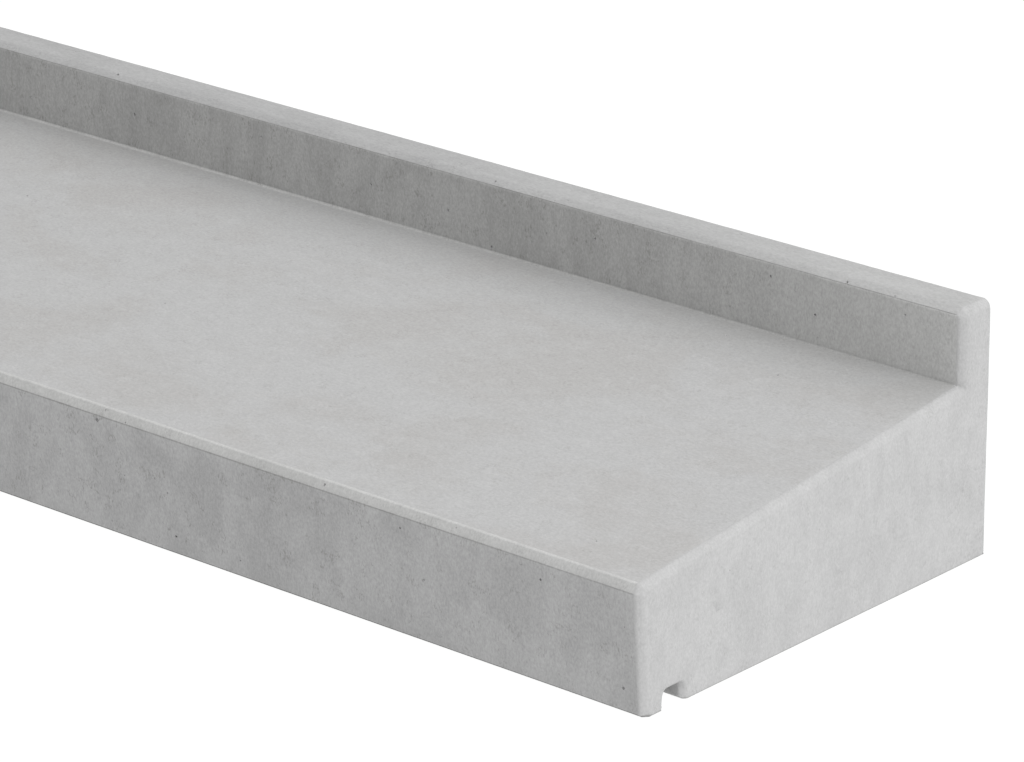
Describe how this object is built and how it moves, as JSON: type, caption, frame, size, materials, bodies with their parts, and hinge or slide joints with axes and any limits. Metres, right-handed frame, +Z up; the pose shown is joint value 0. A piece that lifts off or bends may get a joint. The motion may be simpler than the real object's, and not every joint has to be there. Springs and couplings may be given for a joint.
{
  "type": "precast concrete window sill",
  "caption": "Precast concrete window sill with a sloping top, an upstand at the back, chamfered arrises, a drip groove underneath and a cast-in reinforcing cage.",
  "frame": {"origin": "middle of the underside's bounding rectangle, at bed level", "axes": "+X along the sill to the right end as seen from outside, +Y inwards to the wall and the window, +Z up"},
  "size_m": [1.2, 0.2798, 0.14],
  "materials": {
    "cast_concrete": "pale grey cast concrete: steel-floated top, form-struck sides",
    "reinforcing_bar": "hot-rolled bar with dull mill scale",
    "link_wire": "bent wire rod with dull mill scale",
    "tie_wire": "black annealed soft wire",
    "spacer_plastic": "grey moulded recycled plastic"
  },
  "bodies": {
    "root": {"concrete_body": "cast_concrete", "bar_front": "reinforcing_bar", "bar_rear": "reinforcing_bar", "bar_bottom_front": "reinforcing_bar", "bar_bottom_rear": "reinforcing_bar", "bar_top_front": "reinforcing_bar", "bar_top_rear": "reinforcing_bar", "link_1": "link_wire", "link_2": "link_wire", "link_3": "link_wire", "link_4": "link_wire", "link_5": "link_wire", "link_6": "link_wire", "link_7": "link_wire", "tie_wires": "tie_wire", "spacer_left_front": "spacer_plastic", "spacer_left_rear": "spacer_plastic", "spacer_middle_front": "spacer_plastic", "spacer_middle_rear": "spacer_plastic", "spacer_right_front": "spacer_plastic", "spacer_right_rear": "spacer_plastic"}
  },
  "joints": []
}
